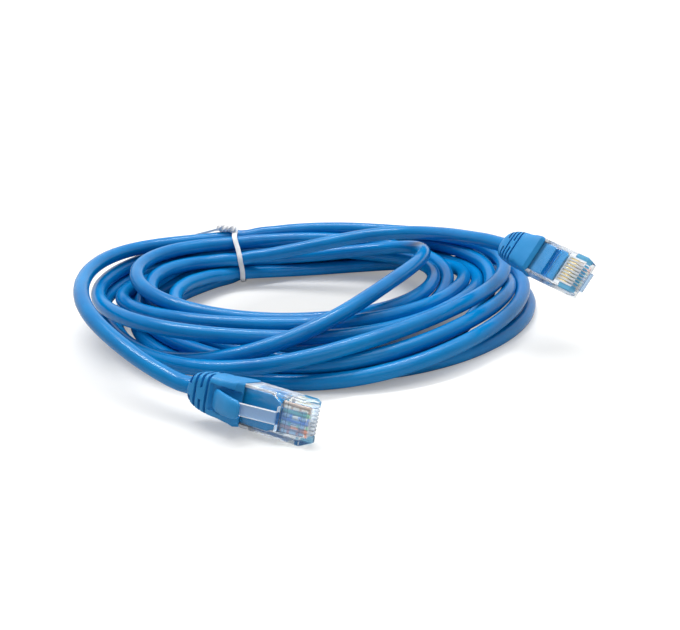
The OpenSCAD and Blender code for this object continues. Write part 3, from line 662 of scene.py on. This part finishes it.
def spread(tree, value, start, end, low, high):
    """Goes from low to high where the value goes from start to end."""
    return add_node(tree, "ShaderNodeMapRange", {
        "Value": value, "From Min": start, "From Max": end, "To Min": low,
        "To Max": high}).outputs["Result"]


class Finish:
    """A procedural material round one Principled shader."""

    def __init__(self, name, **values):
        self.mat = bpy.data.materials.new(name)
        self.mat.use_nodes = True
        self.tree = self.mat.node_tree
        self.shader = self.tree.nodes["Principled BSDF"]
        self.where = self.add("ShaderNodeTexCoord").outputs["Object"]
        self.normal = None
        for socket, value in values.items():
            self.shader.inputs[socket.replace("_", " ")].default_value = value

    def add(self, kind, inputs=None, **settings):
        return add_node(self.tree, kind, inputs, **settings)

    def drive(self, socket, value):
        """Links a value to an input of the shader."""
        self.tree.links.new(value, self.shader.inputs[socket])

    def noise(self, size_mm, detail=3.0, stretch=None):
        """Noise with features of about this size."""
        where = self.where
        if stretch:
            where = self.add("ShaderNodeMapping", {"Vector": where, "Scale": stretch}).outputs[0]
        scale = 1 / (size_mm * MM)
        node = self.add("ShaderNodeTexNoise", {"Vector": where, "Scale": scale,
                                               "Detail": detail})
        return node.outputs["Fac"]

    def ramp(self, value, stops):
        """Colour from a value; each stop is a place and a colour."""
        node = self.add("ShaderNodeValToRGB", {"Fac": value})
        ends = node.color_ramp.elements
        for i, (place, colour) in enumerate(stops):
            e = ends[i] if i < len(ends) else ends.new(place)
            e.position, e.color = place, colour
        return node.outputs["Color"]

    def paint(self, colour):
        self.drive("Base Color", colour)

    def inside(self, value, low, high):
        """1 where the value lies between these two, in millimetres."""
        return self.math("COMPARE", value, (low + high) / 2 * MM, (high - low) / 2 * MM)

    def math(self, kind, *values):
        return calc(self.tree, kind, *values)

    def mixed(self, share, one, other):
        """Colour that goes from one to the other as the share goes from 0 to 1."""
        node = self.add("ShaderNodeMix", {0: share}, data_type="RGBA")
        for socket, colour in zip([i for i in node.inputs if i.type == "RGBA"], (one, other)):
            if isinstance(colour, bpy.types.NodeSocket):
                self.tree.links.new(colour, socket)
            else:
                socket.default_value = colour
        return [o for o in node.outputs if o.type == "RGBA"][0]

    def rough(self, value, low, high):
        """Roughness from low to high where the value goes from 0.3 to 0.7."""
        self.drive("Roughness", spread(self.tree, value, 0.3, 0.7, low, high))

    def bump(self, value, depth_mm, strength=1.0):
        """Lays one more relief over the surface."""
        inputs = {"Height": value, "Distance": depth_mm * MM, "Strength": strength}
        if self.normal is not None:
            inputs["Normal"] = self.normal
        self.normal = self.add("ShaderNodeBump", inputs).outputs["Normal"]
        self.drive("Normal", self.normal)

    def lets_light_in(self):
        """Lamps shine through it, as they do through real clear plastic."""
        clear = self.add("ShaderNodeBsdfTransparent", {"Color": (0.93, 0.95, 0.96, 1)})
        path = self.add("ShaderNodeLightPath")
        either = self.add("ShaderNodeMixShader", {0: path.outputs["Is Shadow Ray"],
                                                  1: self.shader.outputs[0],
                                                  2: clear.outputs[0]})
        self.tree.links.new(either.outputs[0], self.tree.nodes["Material Output"].inputs[0])

    def soft_edges(self, radius_mm):
        """Rounds the look of sharp moulded edges."""
        node = self.add("ShaderNodeBevel", {"Radius": radius_mm * MM}, samples=6)
        self.normal = node.outputs["Normal"]
        self.drive("Normal", self.normal)


def jacket_material():
    """Smooth glossy PVC, faintly uneven, with a little colour variation."""
    f = Finish("cable_jacket", Specular_IOR_Level=0.27)
    f.paint(f.ramp(f.noise(14, 4), [(0.3, BLUE_DEEP), (0.5, BLUE), (0.72, BLUE_SOFT)]))
    f.rough(f.noise(6, 4), 0.13, 0.22)
    f.bump(f.noise(5, 2), 0.05)
    f.bump(f.noise(0.35, 3), 0.006)
    return f.mat


def boot_material():
    """Moulded PVC with a fine satin texture."""
    f = Finish("boot_plastic", Specular_IOR_Level=0.35)
    f.soft_edges(0.35)
    f.paint(f.ramp(f.noise(6, 4), [(0.3, BOOT_DEEP), (0.5, BOOT_BLUE), (0.72, BOOT_SOFT)]))
    f.rough(f.noise(1.2, 4), 0.34, 0.46)
    f.bump(f.noise(0.22, 3), 0.012)
    f.bump(f.noise(3, 2), 0.03)
    return f.mat


def insert_material():
    """The boot's plastic where it lies inside the clear plug, painted darker as shade there."""
    f = Finish("insert_plastic_painted_shade", Specular_IOR_Level=0.2)
    f.soft_edges(0.15)
    # Painted shade: a darker blue than the boot's, for the shade inside the plug
    f.paint(f.ramp(f.noise(5, 4), [(0.3, (0.003, 0.17, 0.4, 1)), (0.7, (0.005, 0.205, 0.46, 1))]))
    f.rough(f.noise(1.5, 4), 0.3, 0.45)
    f.bump(f.noise(2.5, 2), 0.03)
    return f.mat


def plug_frame(f, side):
    """Coordinates of a plug's own frame, in metres, on its pieces."""
    at, turn = PLUGS[side]
    return f.add("ShaderNodeMapping", {"Vector": f.where, "Location": tuple(Vector(at) * MM),
                                       "Rotation": [math.radians(t) for t in turn]},
                 vector_type="TEXTURE").outputs[0]


def clear_material(name, rough, tint, ior=1.14):
    """Clear moulded polycarbonate with flow marks; its gloss lies in a coat."""
    f = Finish(name, Base_Color=tint, Transmission_Weight=1.0, IOR=ior, Coat_Weight=0.6,
               Coat_IOR=1.5, Coat_Roughness=0.04)
    f.soft_edges(0.14)
    f.rough(f.noise(1.5, 4), rough, rough + 0.05)
    f.bump(f.noise(2.4, 3), 0.02)
    f.lets_light_in()
    return f


def plug_axes(f, side):
    """x, distance from the middle, and z in a plug's own frame, in metres."""
    xyz = f.add("ShaderNodeSeparateXYZ", {"Vector": plug_frame(f, side)})
    return xyz.outputs["X"], f.math("ABSOLUTE", xyz.outputs["Y"]), xyz.outputs["Z"]


# Where the housing is painted white, a painted reflection for the light that its clear plastic
# throws back inside: how much, then the limits in x, off the middle and in z
PAINTED_GLARE_ZONES = [
    (0.55, (-7.3, -1.9), (-1, 4.3), (1.3, 4)),          # the comb round the contacts
    (0.5, (-3.4, -0.9), (-1, 4.3), (-0.6, 4)),          # its front, down to the conductors
    (0.9, (-7.3, -5.4), (4.3, 5.2), (1.3, 4)),          # the notches at its ends
    (0.22, (-7.6, -1.6), (-1, 4.4), (-4, -2.2)),        # over the latch's root
    (0.2, (-17, -5), (4.93, 6), (-4, 4)),               # the thick sides
    (0.5, (-22, -16.3), (4.93, 6), (-4, 4)),            # their rear ends
]


def housing_material(side):
    """Clear; painted white for reflected light in the comb round the contacts and along its thick
    sides, and blue where the nose pipes the insert's colour."""
    f = clear_material(f"clear_housing_{side}", 0.02, CLEAR)
    x, y, z = plug_axes(f, side)

    def zone(share, *limits):
        inside = [f.inside(v, *limit) for v, limit in zip((x, y, z), limits)]
        both = f.math("MULTIPLY", inside[0], inside[1])
        return f.math("MULTIPLY", f.math("MULTIPLY", both, inside[2]), share)

    # Painted reflections: white where the clear plastic would throw light back
    white = zone(*PAINTED_GLARE_ZONES[0])
    for more in PAINTED_GLARE_ZONES[1:]:
        white = f.math("MAXIMUM", white, zone(*more))
    blue = zone(0.55 if side == "b" else 0.3, (-5.2, 1), (4.3, 6), (1.8, 4))
    if side == "b":
        blue = f.math("MAXIMUM", blue, zone(0.55, (-1.1, 1), (-1, 6), (2.3, 4)))
    # Over each blade the clear comb shows its gold
    pitch = f.math("FRACT", f.math("MULTIPLY_ADD", y, 1 / (CONTACT_PITCH * MM), 0.5))
    rib = f.math("COMPARE", pitch, 0.5, 0.24)
    gold = f.math("MULTIPLY", f.math("SUBTRACT", 1.0, rib),
                  zone(1.0, (-6.7, -3.7), (-1, 4.1), (2.7, 4)))
    with_painted_glare = f.mixed(f.math("GREATER_THAN", white, 0.1), CLEAR, (0.93, 0.96, 0.99, 1))
    with_painted_glare = f.mixed(gold, with_painted_glare, (0.8, 0.68, 0.38, 1))
    f.paint(f.mixed(f.math("GREATER_THAN", blue, 0.1), with_painted_glare, PIPED_BLUE))
    f.drive("Transmission Weight", f.math("SUBTRACT", 1.0, f.math("MAXIMUM", white, blue)))
    return f.mat


def guide_material(side):
    """The conductors' guide; its contact side takes on the insert's blue, more so in plug B."""
    tint = (0.9, 0.95, 0.98, 1)
    f = clear_material(f"clear_guide_{side}", 0.2, tint, 1.04)
    _, _, z = plug_axes(f, side)
    blue = f.inside(z, -0.2, 2)
    f.paint(f.mixed(blue, tint, (0.03, 0.27, 0.52, 1)))
    dull = f.math("MULTIPLY", blue, 0.8 if side == "b" else 0.2)
    f.drive("Transmission Weight", f.math("SUBTRACT", 1.0, dull))
    return f.mat


def latch_material(side):
    """Clear at the root, hazy along the tail, with painted highlights in white at the tail's
    edges and shoulders.
    """
    f = clear_material(f"clear_latch_{side}", 0.1, (0.8, 0.89, 0.96, 1))
    x, y, _ = plug_axes(f, side)
    tail = f.inside(x, -30, -8.2)
    # Painted highlights: the tail's edges and the shoulders' step are painted white as glints
    edge = f.math("MULTIPLY", tail, f.inside(y, 1.47, 3))
    step = f.math("MULTIPLY", f.inside(x, -9.5, -7.6), f.inside(y, 1.64, 4))
    white = f.math("MAXIMUM", edge, step)
    dull = f.math("MAXIMUM", f.math("MULTIPLY", tail, 0.5), f.math("MULTIPLY", white, 0.95))
    f.drive("Transmission Weight", f.math("SUBTRACT", 1.0, dull))
    f.paint(f.mixed(white, (0.48, 0.66, 0.88, 1), (0.97, 0.98, 1, 1)))
    return f.mat


def gold_material():
    """Gold-plated contact with fine stamping lines."""
    f = Finish("gold_contact", Metallic=1.0)
    f.soft_edges(0.06)
    f.paint(f.ramp(f.noise(0.8, 4), [(0.3, (0.68, 0.54, 0.28, 1)), (0.7, (0.88, 0.77, 0.5, 1))]))
    f.rough(f.noise(0.15, 3, (1, 1, 6)), 0.18, 0.34)
    f.bump(f.noise(0.1, 2, (1, 1, 8)), 0.004)
    return f.mat


def wire_material(name, side, split, colour, white_above):
    """A pair's two conductors, one on each side of the split: one has the solid colour, the
    other is white with stripes of it."""
    f = Finish(name, Specular_IOR_Level=0.4)
    local = plug_frame(f, side)
    xyz = f.add("ShaderNodeSeparateXYZ", {"Vector": local})
    kind = "GREATER_THAN" if white_above else "LESS_THAN"
    white = f.math(kind, xyz.outputs["Y"], split * MM)
    stripes = f.add("ShaderNodeTexWave", {"Vector": local, "Scale": 130, "Distortion": 0.6})
    dye = f.ramp(f.noise(0.9, 3), [(0.35, (*[c * 0.82 for c in colour], 1)),
                                   (0.65, (*colour, 1))])
    striped = f.ramp(stripes.outputs["Fac"], [(0.78, (0.82, 0.81, 0.77, 1)),
                                              (0.84, (*colour, 1))])
    f.paint(f.mixed(white, dye, striped))
    f.rough(f.noise(0.5, 3), 0.35, 0.5)
    f.bump(f.noise(0.3, 3), 0.01)
    return f.mat


def tie_material():
    """White plastic strip, a little soft and translucent."""
    f = Finish("tie_plastic", Specular_IOR_Level=0.4, Subsurface_Weight=0.15)
    f.shader.inputs["Subsurface Radius"].default_value = (0.0008, 0.0008, 0.0008)
    f.paint(f.ramp(f.noise(2, 4), [(0.3, (0.74, 0.75, 0.76, 1)), (0.7, (0.86, 0.86, 0.87, 1))]))
    f.rough(f.noise(0.6, 4), 0.35, 0.55)
    f.bump(f.noise(0.4, 3), 0.03)
    return f.mat


def steel_material():
    """Bright drawn wire."""
    f = Finish("tie_steel", Metallic=1.0)
    f.paint(f.ramp(f.noise(0.5, 3), [(0.3, (0.42, 0.42, 0.43, 1)), (0.7, (0.58, 0.58, 0.6, 1))]))
    f.rough(f.noise(0.2, 3), 0.3, 0.45)
    return f.mat


def finish_node(node, mat):
    """Gives a CAD node's object this material in all its slots."""
    obj = frame["nodes"][node]
    for s in obj.material_slots:
        s.link = "OBJECT"
        s.material = mat


jacket, boot, insert = jacket_material(), boot_material(), insert_material()
wedge = clear_material("clear_wedge", 0.1, (0.25, 0.66, 0.86, 1), 1.06).mat
gold, tie, steel = gold_material(), tie_material(), steel_material()
# A pair's middle among conductors 0 to 7, its colour, and if its white one has the larger y
PAIRS = {
    "orange": (6.5, (0.93, 0.36, 0.24), True),
    "green": (3.5, (0.36, 0.7, 0.5), True),
    "blue": (3.5, (0.3, 0.46, 0.82), False),
    "brown": (0.5, (0.55, 0.4, 0.32), True),
}
cable.data.materials.append(jacket)
for side in PLUGS:
    for node, mat in (("plug_housing", housing_material(side)), ("latch", latch_material(side)),
                      ("wire_guide", guide_material(side)), ("crimp_wedge", wedge),
                      ("contacts", gold)):
        finish_node(f"{node}_{side}", mat)
    for piece, body, node, mat, slot in (
            (boots[side], BODY, "boot", boot, "boot_plastic"),
            (inserts[side], BODY, "boot_insert", insert, "boot_plastic"),
            (jacket_ends[side], BODY, "jacket_end", jacket, "cable_jacket"),
            (petals[side], f"flap_{side}", "boot_flap", boot, "boot_plastic")):
        piece.data.materials.append(mat)
        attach(piece, body)
        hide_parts(f"{node}_{side}")
    for pair, (index, colour, above) in PAIRS.items():
        split = (index - 3.5) * CONTACT_PITCH
        finish_node(f"wires_{pair}_{side}",
                    wire_material(f"wire_{pair}_{side}", side, split, colour, above))
finish_node("tie_twist", tie)
for piece, mat, node, slot in ((strap, tie, "tie_strap", "tie_plastic"),
                               (core, steel, "tie_wire", "tie_steel")):
    piece.data.materials.append(mat)
    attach(piece, BODY)
    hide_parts(node)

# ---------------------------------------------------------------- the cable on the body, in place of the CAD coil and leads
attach(cable, BODY)
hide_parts("cable_coil", "cable_lead_a", "cable_lead_b")

# ---------------------------------------------------------------- floor, backdrop and light
FLOOR_COLOUR = (0.66, 0.66, 0.65, 1)
# How much the floor glows for the camera alone: nothing inside the coil, this much round it,
# where the shadow lies, and fully far away. The reaches are from the coil's middle, in metres.
FLOOR_LIFT = 0.35
COIL_REACH, SHADOW_REACH = (0.028, 0.06), (0.15, 0.9)
# Strength of the white surroundings: as light, and in gloss that faces away from the backdrop
AMBIENT, ROOM = 0.33, 0.15
LAMPS = [                       # name, place, size and watts; all point at the origin
    ("key", (0, 0.1, 0.75), (0.9, 0.7), 4.35),
    ("strip", (-0.1, 0.2, 0.6), (0.6, 0.03), 2.3),
    ("fill", (0.4, -0.6, 0.5), (0.4, 0.4), 0.5),
]


def floor():
    """Pale table top that keeps the soft shadow, lifted towards white for the camera."""
    obj = new_mesh("floor", [(-9, -9, 0), (9, -9, 0), (9, 9, 0), (-9, 9, 0)], [(0, 1, 2, 3)])
    mat = bpy.data.materials.new("floor")
    mat.use_nodes = True
    tree = mat.node_tree
    tree.nodes.remove(tree.nodes["Principled BSDF"])
    where = add_node(tree, "ShaderNodeTexCoord").outputs["Object"]
    away = add_node(tree, "ShaderNodeVectorMath", {0: where, 1: (*(CENTRE * MM), 0)},
                    operation="DISTANCE").outputs["Value"]
    near = spread(tree, away, *COIL_REACH, 0.0, FLOOR_LIFT)
    far = spread(tree, away, *SHADOW_REACH, 0.0, 1 - FLOOR_LIFT)
    camera_ray = add_node(tree, "ShaderNodeLightPath").outputs["Is Camera Ray"]
    lift = calc(tree, "MULTIPLY", camera_ray, calc(tree, "ADD", near, far))
    diffuse = add_node(tree, "ShaderNodeBsdfDiffuse", {"Color": FLOOR_COLOUR})
    glow = add_node(tree, "ShaderNodeEmission", {"Strength": lift})
    both = add_node(tree, "ShaderNodeAddShader", {0: diffuse.outputs[0], 1: glow.outputs[0]})
    tree.links.new(both.outputs[0], tree.nodes["Material Output"].inputs["Surface"])
    obj.data.materials.append(mat)


def world():
    """White to the camera, in clear plastic and on gloss; a softer level as light."""
    w = bpy.data.worlds.new("studio")
    bpy.context.scene.world = w
    w.use_nodes = True
    tree = w.node_tree
    path = add_node(tree, "ShaderNodeLightPath").outputs
    where = add_node(tree, "ShaderNodeTexCoord").outputs["Generated"]
    way = add_node(tree, "ShaderNodeSeparateXYZ", {"Vector": where}).outputs
    # Gloss shows the white backdrop, and a darker room behind the camera
    gloss = calc(tree, "MULTIPLY", path["Is Glossy Ray"],
                 spread(tree, way["Y"], -0.35, 0.25, ROOM, 1.0))
    seen = calc(tree, "MAXIMUM", path["Is Camera Ray"], path["Is Transmission Ray"])
    seen = calc(tree, "MAXIMUM", seen, gloss)
    sky = tree.nodes["Background"]
    sky.inputs["Color"].default_value = (1, 1, 1, 1)
    tree.links.new(spread(tree, seen, 0.0, 1.0, AMBIENT, 1.0), sky.inputs["Strength"])


def soft_box(name, at, size, power):
    """Rectangular lamp that points at the origin."""
    data = bpy.data.lights.new(name, "AREA")
    data.shape, data.size, data.size_y, data.energy = "RECTANGLE", *size, power
    obj = bpy.data.objects.new(name, data)
    bpy.context.scene.collection.objects.link(obj)
    obj.location = at
    obj.rotation_euler = (-Vector(at)).to_track_quat("-Z", "Y").to_euler()


floor()
world()
for lamp in LAMPS:
    soft_box(*lamp)
